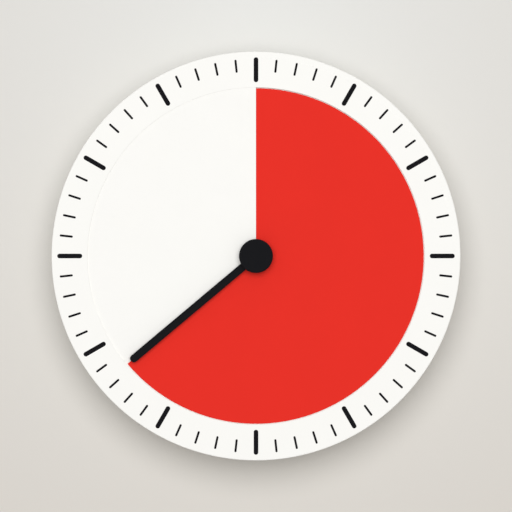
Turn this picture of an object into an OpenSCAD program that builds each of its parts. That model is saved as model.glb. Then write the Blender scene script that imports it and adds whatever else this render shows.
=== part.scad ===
// Visual countdown timer: a round battery timer whose red disc comes out from under a white dial
// through a slit at twelve o'clock. The timer lies on its back, dial up, with twelve o'clock at +Y.
// The dial is one turn of a shallow screw surface and the red disc is another of the same pitch,
// so the disc winds up through the slit as the hand turns clockwise and back under it as time runs out.

/* [Case] */
// Outer diameter of the case
case_d = 200; // [170:1:240]
// Depth of the case, from its back face to the face of the rim
case_depth = 30; // [30:0.5:40]
// Wall thickness of the front cover and the rear housing
wall = 2.2; // [1.8:0.1:2.5]
// Radius of the rear edge of the rear housing
rear_edge_r = 10; // [6:0.5:11]
// Radius of the front edge of the rim
rim_edge_r = 0.4; // [0.3:0.1:1.5]
// Height of the front cover's skirt, down to the parting line
skirt_h = 13.4; // [12:0.2:16]
// Height of the tongue of the rear housing that goes up inside the skirt
tongue_h = 3; // [2:0.5:5]
// Thickness of that tongue
tongue_t = 1.6; // [1.2:0.1:2]
// Clearance between shells that nest
shell_gap = 0.15; // [0.1:0.05:0.3]
// Width and depth of the groove at the parting line
parting_groove = 0.4; // [0.2:0.05:0.8]
// Height of the ribs on the floor of the rear housing
floor_rib_h = 3; // [1:0.5:5]
// Thickness of those ribs
floor_rib_t = 1.2; // [0.8:0.1:1.6]

/* [Dial] */
// Width of the dial ring, from the edge of the case to the well of the red disc
ring_w = 17.5; // [15.8:0.1:19]
// Thickness of the dial plate
dial_t = 0.7; // [0.6:0.05:0.75]
// Rise of the dial and of the red disc over one full turn
helix_pitch = 1.5; // [1.5:0.05:1.7]
// How far the high end of the dial lies below the rim
dial_drop = 0.05; // [0.05:0.01:0.2]
// Length of a minute mark
minute_mark_l = 6.4; // [5:0.1:8]
// Width of a minute mark
minute_mark_w = 1.06; // [0.6:0.02:1.2]
// Distance from a minute mark to the edge of the case
minute_mark_inset = 3.5; // [3:0.1:4.5]
// Length of a five-minute mark
hour_mark_l = 12.2; // [10:0.1:12.8]
// Width of a five-minute mark
hour_mark_w = 2.24; // [1.6:0.02:2.6]
// Distance from a five-minute mark to the edge of the case
hour_mark_inset = 2.8; // [2.4:0.1:3.4]
// Depth of the moulded-in marks
mark_depth = 0.3; // [0.2:0.05:0.5]

/* [Disc, hand and hub] */
// Gap between the edge of the red disc and the wall of its well
disc_edge_gap = 0.45; // [0.3:0.05:2]
// Thickness of the red disc
disc_t = 0.4; // [0.3:0.02:0.42]
// Minutes shown, clockwise from twelve o'clock
minutes_shown = 38.333; // [5:0.5:55]
// Outer radius of the disc's boss
disc_boss_r = 7; // [6.6:0.1:7.2]
// Distance from the hand's tip back to the disc's edge
hand_tip_inset = 2.3; // [1:0.1:5]
// Width of the hand
hand_w = 3.8; // [2.8:0.1:4.4]
// Thickness of the hand
hand_t = 1.6; // [1.2:0.1:2]
// Radius of the hub that the fingers turn
hub_r = 8.3; // [8:0.02:9]
// Height of the hub
hub_h = 4.4; // [4:0.1:7]
// Radius of the hub's rounded upper edge
hub_edge_r = 0.6; // [0.5:0.1:1.5]

/* [Arbor and clutch] */
// Radius of the main arbor
arbor_r = 2.5; // [2.3:0.05:2.6]
// Radius of the keyed part that carries the disc and the hub
key_r = 3; // [2.9:0.05:3.2]
// Half the distance between the two flats of the keyed part
key_flat = 2.4; // [2.2:0.05:2.6]
// Radius of the flange that keeps the disc on the arbor
flange_r = 5.6; // [5:0.1:6]
// Thickness of the flange
flange_t = 0.8; // [0.6:0.05:0.9]
// Radius of the shoulder that the centre wheel is pressed against
shoulder_r = 4.6; // [4:0.1:5]
// Radial clearance of every shaft in its bearing
running_gap = 0.05; // [0.04:0.01:0.08]

/* [Movement] */
// Diameter of the AA cell
battery_d = 14.2; // [13.5:0.1:14.6]
// Length of the AA cell without its nub
battery_l = 49; // [44:0.1:55]
// Room for the spring behind the cell, with its plate
spring_room = 4.9; // [4:0.1:7]
// Height of the button that touches the cell's nub
button_h = 1.5; // [1:0.1:3]
// Thickness of the movement's side walls
movement_wall = 1.6; // [1.2:0.1:2]
// Thickness of the movement's front plate
plate_t = 2; // [1.6:0.1:2.2]
// Thickness of the movement's rear cover
movement_cover_t = 1.6; // [1.2:0.1:1.8]
// Thickness of the train bridge
bridge_t = 1.2; // [1:0.1:1.4]
// Free height between the bridge and the front plate
train_h = 8.3; // [8.3:0.1:8.6]
// Thickness of the circuit board
board_t = 1; // [0.8:0.1:1.2]
// Radius of the threaded collar
collar_r = 5; // [4.6:0.1:5.4]
// Width of the collar nut across its flats
nut_af = 14; // [13:0.5:16]
// Thickness of the collar nut
nut_t = 2; // [1.6:0.1:2.2]
// Thickness of the chassis plate
chassis_t = 2; // [1.6:0.1:2.2]

/* [Gear train] */
// Module of the centre wheel and the third pinion
centre_m = 0.45; // [0.44:0.005:0.46]
// Module of the third wheel and the second pinion
third_m = 0.4; // [0.395:0.005:0.405]
// Module of the second wheel and the intermediate pinion
second_m = 0.35; // [0.345:0.005:0.355]
// Module of the intermediate wheel and the rotor pinion
intermediate_m = 0.3; // [0.295:0.005:0.305]
// Teeth of the centre wheel
centre_teeth = 64; // [62:1:65]
// Teeth of the third wheel
third_teeth = 60; // [58:1:61]
// Teeth of the second wheel
second_teeth = 60; // [58:1:61]
// Teeth of the intermediate wheel
intermediate_teeth = 50; // [48:1:51]
// Thickness of the wheels
wheel_t = 0.8; // [0.6:0.05:0.9]
// Radius of the pivots of the small arbors
pivot_r = 0.5; // [0.4:0.05:0.6]
// Thickness taken off each tooth, for backlash
tooth_thinning = 0.06; // [0.04:0.01:0.1]
// Radius of the rotor magnet
magnet_r = 2; // [1.8:0.1:2.1]
// Height of the rotor magnet
magnet_h = 2.2; // [1.8:0.1:2.4]
// Air gap between the magnet and the stator
air_gap = 0.4; // [0.3:0.05:0.6]

/* [Screws and fits] */
// Radius of the movement's and the chassis plate's screws
screw_r = 1; // [0.9:0.05:1.1]
// Radius of the case screws
case_screw_r = 1.5; // [1.3:0.05:1.6]
// Radius of the heads of the case screws
case_screw_head_r = 2.8; // [2.6:0.1:3]
// Radial clearance of a screw in its threaded hole
thread_gap = 0.03; // [0.02:0.01:0.05]
// Radial clearance of a screw in a plain hole
screw_gap = 0.2; // [0.15:0.05:0.3]
// Clearance of a push fit, on each side
push_gap = 0.02; // [0.01:0.01:0.04]
// Clearance of the disc's boss on the keyed arbor, on each side
slide_gap = 0.08; // [0.06:0.01:0.1]

/* [Back] */
// How far the feet stand proud of the back
foot_proud = 1.4; // [1:0.1:2]
// Radius of a foot
foot_r = 6; // [5:0.5:8]
// Depth of the recess that holds a foot
foot_recess = 1; // [0.6:0.1:1.2]
// Distance from the centre of a foot to the edge of the case
foot_inset = 24; // [22:1:34]
// Radius of the keyhole's round entry, for the head of a wall screw
keyhole_head_r = 4.75; // [4.2:0.05:5.5]
// Half the width of the keyhole's slot, for the shank of the screw
keyhole_slot_r = 2.3; // [1.8:0.1:2.6]
// Distance from the keyhole's entry to the edge of the case
keyhole_inset = 38; // [36:0.5:42]
// Length of the keyhole's slot, from the entry to its upper end
keyhole_l = 10; // [9:0.5:14]
// Height of the pocket behind the keyhole
keyhole_pocket_h = 7; // [6:0.5:10]
// Radius of the fingernail scoop at the edge of the battery door
door_scoop_r = 8; // [5:0.5:11]
// Depth of that scoop
door_scoop_depth = 0.9; // [0.5:0.1:1.2]
// Clearance around the battery door
door_gap = 0.2; // [0.15:0.05:0.3]
// Travel of the sound switch
switch_travel = 3; // [2:0.5:3.5]

/* [Hidden] */
$fn = 96;

// Colours
face_white = [0.97, 0.965, 0.94];
shell_white = [0.93, 0.925, 0.9];
ink_black = [0.1, 0.1, 0.11];
disc_red = [0.91, 0.2, 0.165];
hand_black = [0.11, 0.11, 0.12];
frame_grey = [0.72, 0.73, 0.74];
movement_black = [0.16, 0.16, 0.17];
steel = [0.75, 0.76, 0.78];
brass = [0.8, 0.66, 0.36];
gear_white = [0.9, 0.9, 0.86];
gear_orange = [0.93, 0.5, 0.18];
board_green = [0.1, 0.4, 0.24];
copper = [0.75, 0.42, 0.24];
rubber_grey = [0.22, 0.22, 0.23];

// How far joined solids go into each other, and how far a cut goes past what it cuts
embed = 0.5;
past = 1;

// Dial and disc
case_r = case_d / 2;
well_r = case_r - ring_w;
disc_r = well_r - disc_edge_gap;
marks = 60;
marks_per_hour_mark = 5;
full_turn = 360;
facets_per_turn = 120;
hand_angle = minutes_shown * full_turn / marks;
disc_gap = (helix_pitch - dial_t - disc_t) / 2;
well_wall_t = 2.2;
well_lip = 1;
dial_embed = 1;
boss_clear = 0.6;
dial_hole_r = disc_boss_r + boss_clear;
boss_embed = 0.8;
boss_over = 0.1;
boss_under = 0.6;
axial_gap = 0.2;
hand_gap = 0.35;
hub_wall = 1.4;

// Heights, from the surface that the timer lies on
back_z = foot_proud;
floor_z = back_z + wall;
rim_z = back_z + case_depth;
parting_z = rim_z - skirt_h;
dial_z = rim_z - dial_drop - helix_pitch;
disc_z = dial_z + disc_gap;
turned = hand_angle / full_turn;
disc_low_z = disc_z + helix_pitch * (turned - 1);
disc_high_z = disc_z + helix_pitch * turned + disc_t;
boss_z0 = disc_low_z - boss_under;
boss_z1 = disc_high_z + boss_over;
hand_z = rim_z - dial_drop + disc_gap + disc_t + boss_over + hand_gap;
flange_z1 = boss_z0 - helix_pitch * turned - axial_gap;
movement_gap = 1.4;
movement_z = floor_z + movement_gap;
battery_clear = 0.4;
board_standoff = 0.8;
board_z = movement_z + movement_cover_t + board_standoff;
crystal_r = 0.95;
crystal_gap = 0.2;
cell_top_z = movement_z + battery_d + 2 * battery_clear;
board_top_z = board_z + board_t + 2 * crystal_r + crystal_gap + bridge_t;
train_top_z = max(cell_top_z, board_top_z + train_h);
plate_z = train_top_z + plate_t;
bridge_top_z = train_top_z - train_h;
chassis_top_z = plate_z + chassis_t;
collar_over = 0.2;
collar_top_z = chassis_top_z + nut_t + collar_over;

// Gear train: leaves of the pinions, arbor places and heights above the bridge
third_leaves = 8;
second_leaves = 8;
intermediate_leaves = 10;
rotor_leaves = 10;
pressure_angle = 30;
addendum = 0.85;
dedendum = 1.1;
flank_steps = 2;
least_root = 0.01;
centre_third_angle = 55;
third_second_angle = 171;
second_intermediate_angle = 205;
intermediate_rotor_angle = 250;
third_at = along(centre_m * (centre_teeth + third_leaves) / 2, centre_third_angle);
second_at = third_at + along(third_m * (third_teeth + second_leaves) / 2, third_second_angle);
intermediate_at = second_at
    + along(second_m * (second_teeth + intermediate_leaves) / 2, second_intermediate_angle);
rotor_at = intermediate_at
    + along(intermediate_m * (intermediate_teeth + rotor_leaves) / 2, intermediate_rotor_angle);
small_arbor_r = 0.8;
pivot_l = 0.7;
end_play = 0.12;
pinion_over = 0.4;
intermediate_wheel_h = 0.6;
second_wheel_h = 2.2;
third_wheel_h = 3.8;
centre_wheel_h = 6.1;
clip_h = 4.9;
clip_t = 0.4;
clip_r = 3.8;
washer_r = 4.6;
washer_t = 0.25;
washer_gap = 0.06;
stator_h = 3.6;
stator_t = 0.8;
magnet_z0 = 2.9;
arbor_pivot_r = 1.2;
core_z = bridge_top_z + stator_h + stator_t;
train_places = [third_at, second_at, intermediate_at, rotor_at];

// Coil and core of the stepping motor
coil_offset = 6.68;
coil_x = rotor_at[0] - coil_offset;
coil_y0 = -12;
coil_y1 = 4.2;
coil_r = 3;
bobbin_r = 1.9;
flange_over = 0.3;
coil_outer_r = coil_r + flange_over;
coil_side_gap = 0.05;
bobbin_flange_t = 0.8;
core_w = 3;
core_t = 0.8;
arm_w = 4.2;
arm_gap = 0.3;
core_screw_r = 0.8;
core_screw_grip = 2.6;
core_screw_head_r = 1.4;
core_screw_head_h = 0.8;
core_hole_gap = 0.1;
core_screws_at = [for (y = [coil_y1 + arm_gap + arm_w / 2, coil_y0 - arm_gap - arm_w / 2])
    [coil_x, y]];

// Layout of the movement, with the main arbor at 0, 0
bay_side_room = 1.3;
battery_bay_w = battery_d + bay_side_room;
train_y0 = -19.3;
train_y1 = 27;
bay_y1 = train_y0 - movement_wall;
bay_y0 = bay_y1 - battery_bay_w;
battery_nub_r = 2.75;
battery_nub_l = 1.4;
cell_room = spring_room + battery_l + battery_nub_l + button_h;
coil_room = 2 * (coil_side_gap + coil_outer_r - coil_x);
movement_w = max(cell_room, coil_room);
movement_x = movement_w / 2;
battery_x1 = movement_x - button_h;
battery_x0 = battery_x1 - battery_nub_l - battery_l;
movement_corner_r = 2.6;
battery_y = (bay_y0 + bay_y1) / 2;
battery_z = movement_z + battery_clear + battery_d / 2;
window_side = 0.6;
window_below = 2;
window_above = 1;
window_rim_w = 1.2;
window_corner_r = 1;
window_x = movement_x + window_side;
window_y0 = bay_y0 - window_below;
window_y1 = bay_y1 + window_above;
movement_head_r = 1.8;
movement_head_h = 1.1;
movement_head_gap = 0.3;
post_r = 2.2;
post_grip = 5;
post_left_gap = 2.9;
post_right_gap = 3.4;
post_upper_gap = 3;
post_upper_y = train_y1 - post_upper_gap;
post_lower_y = window_y1 + window_rim_w + movement_head_gap + movement_head_r;
post_lower_x = 12;
posts = [
    [-movement_x + post_left_gap, post_upper_y], [movement_x - post_right_gap, post_upper_y],
    [post_lower_x, post_lower_y], [-post_lower_x, post_lower_y]
];
peg_side_gap = 8.4;
peg_upper_gap = 6;
peg_x = movement_x - peg_side_gap;
peg_y = train_y1 - peg_upper_gap;
peg_places = [[-peg_x, peg_y], [peg_x, peg_y]];
peg_r = 1.5;
peg_h = 1.6;

// Board, contacts and switch
board_pins_at = [[-20, 6], [10, 6], [-20, -8], [4, -12]];
board_pin_r = 1.2;
contact_t = 0.3;
contact_w = 9;
contact_tab_w = 5.5;
stator_strip_w = 6.4;
board_end_gap = 0.8;
board_y0 = train_y0 + board_end_gap;
board_y1 = 9.5;
board_side_gap = 1.4;
chip_at = [0, -6];
chip_r = 3.6;
chip_top_r = 2.4;
chip_edge_h = 0.4;
chip_h = 1;
crystal_at = [-8, -15];
crystal_l = 6;
crystal_end_r = 0.75;
crystal_end_l = 0.4;
buzzer_side_gap = 8.4;
buzzer_at = [movement_x - buzzer_side_gap, -9.6];
buzzer_r = 6;
buzzer_h = 6;
buzzer_port_r = 1.5;
switch_at = [-14, 0];
switch_w = 5;
switch_body_l = 11;
switch_body_w = 5;
knob_l = 4;
knob_recess = 0.5;
switch_roof_t = 0.8;
switch_stem_gap = 0.2;

// Back of the rear housing
case_screw_inset = 9.5;
screw_ring_r = case_r - case_screw_inset;
cover_boss_wall = 2.1;
cover_boss_r = case_screw_r + cover_boss_wall;
cover_boss_over = 2.6;
cover_boss_z = parting_z + cover_boss_over;
case_screw_grip = 6;
case_screw_seat = 4;
case_screw_seat_z = floor_z + case_screw_seat;
case_screw_head_h = 1.8;
drill_over = 0.5;
head_gap = 0.4;
tube_wall = 1.4;
tube_r = case_screw_head_r + head_gap + tube_wall;
chassis_screw_grip = 7;
chassis_screw_head_r = 2.4;
chassis_screw_head_h = 1.4;
chassis_post_r = 4;
chassis_rib_h = 1.2;
chassis_rib_t = 1.6;
case_screw_angles = [45, 135, 225, 315];
chassis_screw_angles = [60, 180, 300];
floor_rib_angles = [22.5, 90, 112.5, 157.5];
housing_edge_x = case_r - rear_edge_r;
housing_edge_z = back_z + rear_edge_r;
floor_rib_l = 28;
floor_rib_r0 = housing_edge_x - floor_rib_l;
chassis_lap = 1;
chassis_r = well_r + chassis_lap;
chassis_screw_inset = 6.5;
chassis_ring_r = chassis_r - chassis_screw_inset;
foot_ring_r = case_r - foot_inset;
keyhole_y = case_r - keyhole_inset;
window_rim_below = 3;
door_t = wall;
door_tab_l = 1.6;
door_tab_t = 0.7;
door_tab_w = 8;
door_tab_gap = 0.1;
door_tab_back = 0.3;
tab_root_l = 2;

// A point in the plan, at a distance and an angle from +X
function along(d, angle) = [d * cos(angle), d * sin(angle)];

// A point on the dial, clockwise from twelve o'clock
function on_dial(r, angle, z) = [r * sin(angle), r * cos(angle), z];

// Involute of an angle in degrees
function involute(angle) = tan(angle) * 180 / PI - angle;

// Half the angle that a tooth takes up at radius r
function half_tooth(n, m, r) = 90 / n - tooth_thinning / (n * m) * 180 / PI
    + involute(pressure_angle) - involute(acos(n * m / 2 * cos(pressure_angle) / r));

// Radii of the points of a flank, from its lower end to the tip
function flank_radii(n, m) =
    let (
        pitch_r = n * m / 2,
        low = max(pitch_r * cos(pressure_angle), pitch_r - dedendum * m),
        tip = pitch_r + addendum * m
    )
    [for (k = [0 : flank_steps]) low + (tip - low) * k / flank_steps];

// Outline of an involute gear with a tooth centred on +X
function gear_points(n, m) =
    let (
        radii = flank_radii(n, m),
        root_r = n * m / 2 - dedendum * m,
        foot = half_tooth(n, m, radii[0]),
        rooted = radii[0] > root_r + least_root
    )
    [for (i = [0 : n - 1])
        let (centre = full_turn * i / n)
        each concat(
            rooted ? [along(root_r, centre - foot)] : [],
            [for (r = radii) along(r, centre - half_tooth(n, m, r))],
            [for (k = [flank_steps : -1 : 0]) along(radii[k], centre + half_tooth(n, m, radii[k]))],
            rooted ? [along(root_r, centre + foot)] : []
        )
    ];

// Turns its children to an angle on the dial and moves them out to a radius
module at_dial(angle, r = 0) {
    rotate([0, 0, -angle]) translate([0, r, 0]) children();
}

// Rectangle with round corners
module round_rect(x0, y0, x1, y1, r) {
    translate([x0 + r, y0]) square([x1 - x0 - 2 * r, y1 - y0]);
    translate([x0, y0 + r]) square([x1 - x0, y1 - y0 - 2 * r]);
    for (x = [x0 + r, x1 - r], y = [y0 + r, y1 - r]) translate([x, y]) circle(r = r);
}

// Bar with round ends from y0 to y1, which are its outermost points
module round_bar(y0, y1, w) {
    translate([-w / 2, y0 + w / 2]) square([w, y1 - y0 - w]);
    for (y = [y0 + w / 2, y1 - w / 2]) translate([0, y]) circle(d = w);
}

// Circle with two flats
module double_d(r, flat) {
    intersection() {
        circle(r = r);
        square([4 * r, 2 * flat], center = true);
    }
}

// Sheet of one screw surface between two dial angles, with its underside at z at twelve o'clock
module helix_sheet(r0, r1, t, angle0, angle1, z) {
    steps = round((angle1 - angle0) * facets_per_turn / full_turn);
    points = [for (i = [0 : steps])
        let (angle = angle0 + (angle1 - angle0) * i / steps, low = z + helix_pitch * angle / full_turn)
        each [
            on_dial(r0, angle, low), on_dial(r1, angle, low),
            on_dial(r1, angle, low + t), on_dial(r0, angle, low + t)
        ]
    ];
    sides = [for (i = [0 : steps - 1], k = [0 : 3])
        let (a = 4 * i + k, b = 4 * i + (k + 1) % 4)
        each [[a, b + 4, b], [a, a + 4, b + 4]]
    ];
    last = 4 * steps;
    ends = [[0, 1, 2], [0, 2, 3], [last + 2, last + 1, last], [last + 3, last + 2, last]];
    polyhedron(points, concat(sides, ends));
}

// Screw with its tip at tip_z and a pan head whose seat is at seat_z, driven upwards
module screw_up(seat_z, tip_z, r, head_r, head_h) {
    recess_l = 1.1 * head_r;
    recess_w = 0.3 * head_r;
    difference() {
        union() {
            translate([0, 0, seat_z - head_h / 4])
                cylinder(r = r, h = tip_z - seat_z + head_h / 4, $fn = 32);
            translate([0, 0, seat_z - head_h]) cylinder(r = head_r, h = head_h, $fn = 48);
        }
        for (turn = [0, 90]) translate([0, 0, seat_z - head_h]) rotate([0, 0, turn])
            cube([recess_l, recess_w, head_h], center = true);
    }
}

// ---------------------------------------------------------------- case

// Marks of one kind, cut from the rim downwards
module mark_bars(kind_hour, w, l, inset) {
    for (i = [0 : marks - 1])
        if ((i % marks_per_hour_mark == 0) == kind_hour)
            rotate(-i * full_turn / marks)
                round_bar(case_r - inset - l, case_r - inset, w);
}

module five_minute_marks() {
    color(ink_black) translate([0, 0, rim_z - mark_depth]) linear_extrude(mark_depth)
        mark_bars(true, hour_mark_w, hour_mark_l, hour_mark_inset);
}

module minute_marks() {
    color(ink_black) translate([0, 0, rim_z - mark_depth]) linear_extrude(mark_depth)
        mark_bars(false, minute_mark_w, minute_mark_l, minute_mark_inset);
}

// Half section of the front cover without its dial
module cover_section() {
    difference() {
        union() {
            translate([well_r, parting_z]) square([case_r - well_r, skirt_h - rim_edge_r]);
            translate([well_r, parting_z]) square([case_r - rim_edge_r - well_r, skirt_h]);
            translate([case_r - rim_edge_r, rim_z - rim_edge_r]) circle(r = rim_edge_r);
        }
        translate([well_r + well_wall_t, parting_z - past])
            square([case_r - wall - well_r - well_wall_t, skirt_h - wall + past]);
        translate([well_r - past, parting_z - past])
            square([well_wall_t + 2 * past, dial_z - dial_t - well_lip - parting_z + past]);
    }
}

module front_cover() {
    color(face_white) {
        difference() {
            union() {
                rotate_extrude() cover_section();
                for (angle = case_screw_angles) at_dial(angle, screw_ring_r)
                    translate([0, 0, cover_boss_z])
                        cylinder(r = cover_boss_r, h = rim_z - wall / 2 - cover_boss_z);
            }
            for (angle = case_screw_angles) at_dial(angle, screw_ring_r)
                translate([0, 0, cover_boss_z - past])
                    cylinder(r = case_screw_r + thread_gap, h = case_screw_grip + drill_over + past,
                        $fn = 32);
            translate([0, 0, rim_z - mark_depth]) linear_extrude(2 * mark_depth) {
                mark_bars(true, hour_mark_w, hour_mark_l, hour_mark_inset);
                mark_bars(false, minute_mark_w, minute_mark_l, minute_mark_inset);
            }
        }
        helix_sheet(dial_hole_r, well_r + dial_embed, dial_t, 0, full_turn, dial_z - dial_t);
    }
}

// Half outline of the rear housing, from its axis to the outside
module housing_outline() {
    translate([0, back_z]) square([housing_edge_x, parting_z - back_z]);
    translate([0, housing_edge_z]) square([case_r, parting_z - housing_edge_z]);
    intersection() {
        translate([housing_edge_x, housing_edge_z]) circle(r = rear_edge_r);
        translate([housing_edge_x, back_z]) square(rear_edge_r);
    }
}

// Half section of the rear housing's shell
module housing_section() {
    tongue_r = case_r - wall - shell_gap - tongue_t;
    difference() {
        union() {
            housing_outline();
            translate([tongue_r, housing_edge_z])
                square([tongue_t, parting_z + tongue_h - housing_edge_z]);
        }
        translate([-past, floor_z]) square([housing_edge_x + past, parting_z + tongue_h]);
        translate([-past, housing_edge_z]) square([tongue_r + past, parting_z + tongue_h]);
        translate([housing_edge_x, housing_edge_z]) circle(r = rear_edge_r - wall);
        translate([case_r - parting_groove, parting_z - parting_groove])
            square(parting_groove + past);
    }
}

// Ribs that stiffen the floor and end in the rounded edge
module floor_ribs() {
    intersection() {
        rotate_extrude() housing_outline();
        for (angle = floor_rib_angles, side = [-1, 1]) at_dial(side * angle)
            translate([-floor_rib_t / 2, floor_rib_r0, floor_z - embed])
                cube([floor_rib_t, case_r - floor_rib_r0, floor_rib_h + embed]);
    }
}

// Outline of the keyhole, or of its pocket when grown
module keyhole_outline() {
    translate([0, keyhole_y]) circle(r = keyhole_head_r);
    translate([0, keyhole_y + keyhole_l]) circle(r = keyhole_slot_r);
    translate([-keyhole_slot_r, keyhole_y]) square([2 * keyhole_slot_r, keyhole_l]);
}

pocket_side = 1.6;
pocket_wall = 1.6;
pocket_corner_r = 2;
pocket_x = keyhole_head_r + pocket_side;
pocket_y0 = keyhole_y - keyhole_head_r - pocket_side;
pocket_y1 = keyhole_y + keyhole_l + keyhole_head_r + pocket_side;

// Block around the keyhole's pocket, or the pocket itself
module keyhole_pocket(grow, z, h) {
    translate([0, 0, z]) linear_extrude(h)
        round_rect(-pocket_x - grow, pocket_y0 - grow, pocket_x + grow, pocket_y1 + grow,
            pocket_corner_r + grow);
}

sound_slot_w = 1.4;
sound_slot_l = 10;
sound_slot_step = 2.8;
housing_sound_slots = 5;
cover_sound_slots = 3;
cover_sound_slot_l = 8;

// Slots that let the buzzer be heard
module sound_slots(n, l) {
    translate(buzzer_at) for (i = [-(n - 1) / 2 : (n - 1) / 2])
        translate([i * sound_slot_step, 0]) round_bar(-l / 2, l / 2, sound_slot_w);
}

module rear_housing() {
    color(shell_white) difference() {
        union() {
            rotate_extrude() housing_section();
            for (angle = case_screw_angles) at_dial(angle, screw_ring_r)
                translate([0, 0, floor_z - wall / 2])
                    cylinder(r = tube_r, h = cover_boss_z - axial_gap - floor_z + wall / 2);
            for (angle = chassis_screw_angles) at_dial(angle, chassis_ring_r)
                translate([0, 0, floor_z - wall / 2])
                    cylinder(r = chassis_post_r, h = plate_z - floor_z + wall / 2);
            keyhole_pocket(pocket_wall, floor_z - embed, keyhole_pocket_h + pocket_wall + embed);
            window_rim();
            floor_ribs();
        }
        for (angle = case_screw_angles) at_dial(angle, screw_ring_r) {
            translate([0, 0, back_z - past])
                cylinder(r = case_screw_head_r + head_gap, h = case_screw_seat_z - back_z + past);
            translate([0, 0, back_z]) cylinder(r = case_screw_r + screw_gap, h = case_depth, $fn = 32);
        }
        for (angle = chassis_screw_angles) at_dial(angle, chassis_ring_r)
            translate([0, 0, plate_z - chassis_screw_grip - drill_over])
                cylinder(r = screw_r + thread_gap, h = chassis_screw_grip + drill_over + past, $fn = 32);
        for (angle = case_screw_angles) at_dial(angle, foot_ring_r)
            translate([0, 0, back_z - past]) cylinder(r = foot_r + shell_gap, h = foot_recess + past);
        keyhole_pocket(0, floor_z, keyhole_pocket_h);
        translate([0, 0, back_z - past]) linear_extrude(wall + 2 * past) {
            keyhole_outline();
            sound_slots(housing_sound_slots, sound_slot_l);
            round_rect(-window_x, window_y0, window_x, window_y1, window_corner_r);
        }
        switch_cut();
        translate([0, window_y1 - door_gap, back_z - past])
            cylinder(r = door_scoop_r, h = door_scoop_depth + past);
    }
}

// Low rim that stiffens the battery window
module window_rim() {
    rim_h = 0.9;
    rim_corner_r = 1.5;
    rim_y0 = window_y0 - door_tab_l - window_rim_below;
    translate([0, 0, floor_z - wall / 2]) linear_extrude(rim_h + wall / 2) difference() {
        round_rect(-window_x - window_rim_w, rim_y0, window_x + window_rim_w,
            window_y1 + window_rim_w, rim_corner_r);
        round_rect(-window_x, rim_y0 + window_rim_w, window_x, window_y1, window_corner_r);
    }
}

// Thumb recess and slot of the sound switch
module switch_cut() {
    recess_x = 4;
    recess_y = 1.5;
    recess_d = 0.7;
    recess_corner_r = 1.5;
    end_gap = 0.3;
    side_gap = 0.2;
    slot_corner_r = 0.5;
    translate([switch_at[0], switch_at[1], back_z - past]) {
        linear_extrude(recess_d + past)
            round_rect(-knob_l / 2 - recess_x, -switch_w / 2 - recess_y,
                knob_l / 2 + switch_travel + recess_x, switch_w / 2 + recess_y, recess_corner_r);
        linear_extrude(wall + 2 * past)
            round_rect(-knob_l / 2 - end_gap, -switch_w / 2 - side_gap,
                knob_l / 2 + switch_travel + end_gap, switch_w / 2 + side_gap, slot_corner_r);
    }
}

module chassis_plate() {
    rib_gap = 2.6;
    rib_r0 = norm([movement_x + movement_wall, bay_y0 - movement_wall]) + rib_gap;
    rim_t = 1.6;
    color(frame_grey) difference() {
        union() {
            translate([0, 0, plate_z]) cylinder(r = chassis_r, h = chassis_t);
            translate([0, 0, plate_z - chassis_rib_h]) {
                difference() {
                    cylinder(r = chassis_r, h = chassis_rib_h + embed);
                    translate([0, 0, -past])
                        cylinder(r = chassis_r - rim_t, h = chassis_rib_h + embed + 2 * past);
                }
                for (angle = [30 : 60 : 330]) rotate([0, 0, -angle])
                    translate([-chassis_rib_t / 2, rib_r0, 0])
                        cube([chassis_rib_t, chassis_r - rim_t / 2 - rib_r0, chassis_rib_h + embed]);
            }
        }
        translate([0, 0, plate_z - past]) {
            cylinder(r = collar_r + screw_gap, h = chassis_t + 2 * past);
            for (angle = chassis_screw_angles) at_dial(angle, chassis_ring_r)
                cylinder(r = screw_r + screw_gap, h = chassis_t + 2 * past, $fn = 32);
            for (p = peg_places) translate(p)
                cylinder(r = peg_r + push_gap, h = chassis_t + 2 * past, $fn = 32);
        }
    }
}

module chassis_screws() {
    color(steel) for (angle = chassis_screw_angles) at_dial(angle, chassis_ring_r)
        translate([0, 0, chassis_top_z]) mirror([0, 0, 1])
            screw_up(0, chassis_t + chassis_screw_grip, screw_r, chassis_screw_head_r,
                chassis_screw_head_h);
}

module case_screws() {
    color(steel) for (angle = case_screw_angles) at_dial(angle, screw_ring_r)
        screw_up(case_screw_seat_z, cover_boss_z + case_screw_grip, case_screw_r,
            case_screw_head_r, case_screw_head_h);
}

module rubber_feet() {
    edge = 0.5;
    color(rubber_grey) for (angle = case_screw_angles) at_dial(angle, foot_ring_r) {
        cylinder(r1 = foot_r - edge, r2 = foot_r, h = edge);
        translate([0, 0, edge]) cylinder(r = foot_r, h = foot_proud + foot_recess - edge);
    }
}

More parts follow.
